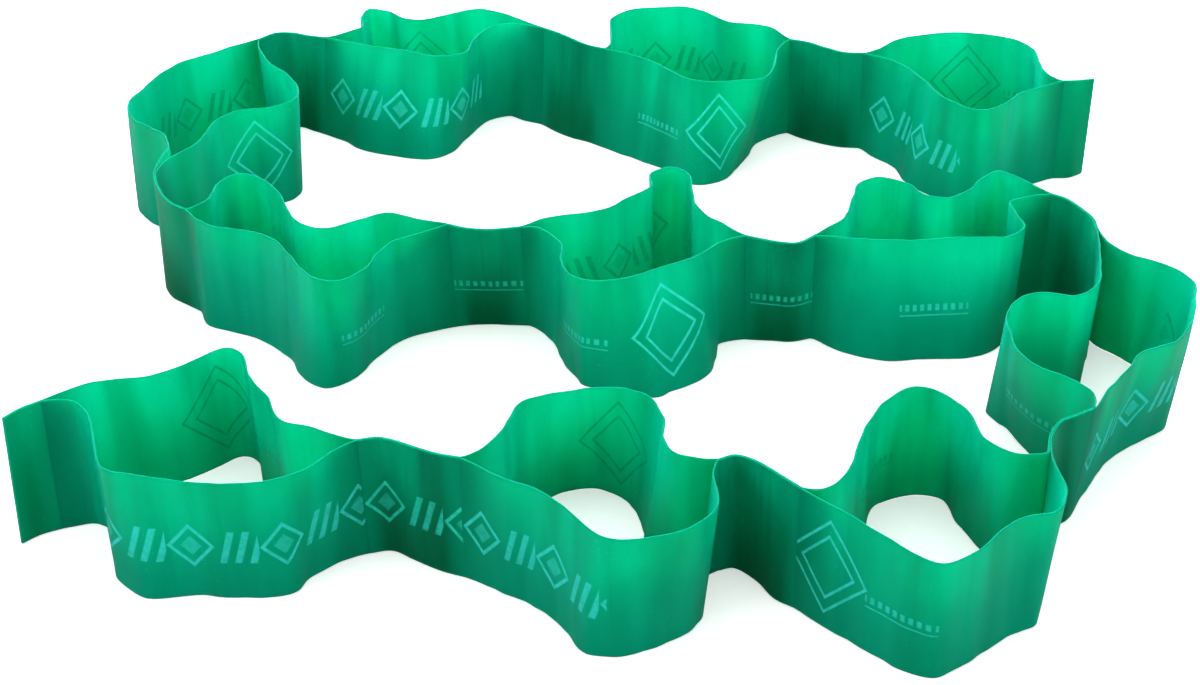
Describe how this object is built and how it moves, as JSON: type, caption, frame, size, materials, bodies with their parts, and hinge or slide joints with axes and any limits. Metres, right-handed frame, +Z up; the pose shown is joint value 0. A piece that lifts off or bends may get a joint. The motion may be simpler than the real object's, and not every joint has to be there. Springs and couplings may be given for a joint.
{
  "type": "loop resistance band",
  "caption": "Elastic resistance band of two strips bonded at short webs so that a row of hand and foot loops opens between them, laid on its edge in an S.",
  "frame": {"origin": "centre of the laid band's plan outline, on the surface it stands on", "axes": "+Z up along the band's width, +X along the three rows of loops from the first end tab, +Y from the front row to the back row"},
  "size_m": [0.4406, 0.4384, 0.05],
  "materials": {
    "strip_a_elastic": "satin translucent green elastic sheet",
    "strip_b_elastic": "satin translucent green elastic sheet"
  },
  "bodies": {
    "loop_01": {"strip_a_loop_01": "strip_a_elastic", "strip_b_loop_01": "strip_b_elastic"},
    "loop_02": {"strip_a_loop_02": "strip_a_elastic", "strip_b_loop_02": "strip_b_elastic"},
    "loop_03": {"strip_a_loop_03": "strip_a_elastic", "strip_b_loop_03": "strip_b_elastic"},
    "loop_04": {"strip_a_loop_04": "strip_a_elastic", "strip_b_loop_04": "strip_b_elastic"},
    "loop_05": {"strip_a_loop_05": "strip_a_elastic", "strip_b_loop_05": "strip_b_elastic"},
    "loop_06": {"strip_a_loop_06": "strip_a_elastic", "strip_b_loop_06": "strip_b_elastic"},
    "loop_07": {"strip_a_loop_07": "strip_a_elastic", "strip_b_loop_07": "strip_b_elastic"},
    "loop_08": {"strip_a_loop_08": "strip_a_elastic", "strip_b_loop_08": "strip_b_elastic"},
    "loop_09": {"strip_a_loop_09": "strip_a_elastic", "strip_b_loop_09": "strip_b_elastic"},
    "loop_10": {"strip_a_loop_10": "strip_a_elastic", "strip_b_loop_10": "strip_b_elastic"},
    "loop_11": {"strip_a_loop_11": "strip_a_elastic", "strip_b_loop_11": "strip_b_elastic"}
  },
  "joints": [
    {"name": "fold_01_02", "type": "hinge", "parent": "loop_02", "child": "loop_01", "pos_m": [-0.07483, -0.14858, 0.025], "axis": [0, 0, -1], "range_deg": [-100, 40]},
    {"name": "fold_02_03", "type": "hinge", "parent": "loop_03", "child": "loop_02", "pos_m": [0.04317, -0.16458, 0.025], "axis": [0, 0, -1], "range_deg": [-65, 10]},
    {"name": "fold_03_04", "type": "hinge", "parent": "loop_04", "child": "loop_03", "pos_m": [0.14817, -0.14758, 0.025], "axis": [0, 0, -1], "range_deg": [-90, 5]},
    {"name": "fold_04_05", "type": "hinge", "parent": "loop_05", "child": "loop_04", "pos_m": [0.18717, -0.00258, 0.025], "axis": [0, 0, 1], "range_deg": [-10, 100]},
    {"name": "fold_05_06", "type": "hinge", "parent": "loop_06", "child": "loop_05", "pos_m": [0.06417, -0.02158, 0.025], "axis": [0, 0, -1], "range_deg": [-50, 20]},
    {"name": "fold_06_07", "type": "hinge", "parent": "loop_06", "child": "loop_07", "pos_m": [-0.05383, -0.00058, 0.025], "axis": [0, 0, 1], "range_deg": [-15, 45]},
    {"name": "fold_07_08", "type": "hinge", "parent": "loop_07", "child": "loop_08", "pos_m": [-0.18883, 0.03342, 0.025], "axis": [0, 0, 1], "range_deg": [-5, 100]},
    {"name": "fold_08_09", "type": "hinge", "parent": "loop_08", "child": "loop_09", "pos_m": [-0.15283, 0.19342, 0.025], "axis": [0, 0, 1], "range_deg": [-10, 100]},
    {"name": "fold_09_10", "type": "hinge", "parent": "loop_09", "child": "loop_10", "pos_m": [-0.01583, 0.17242, 0.025], "axis": [0, 0, -1], "range_deg": [-65, 20]},
    {"name": "fold_10_11", "type": "hinge", "parent": "loop_10", "child": "loop_11", "pos_m": [0.10217, 0.15442, 0.025], "axis": [0, 0, -1], "range_deg": [-95, 60]}
  ]
}
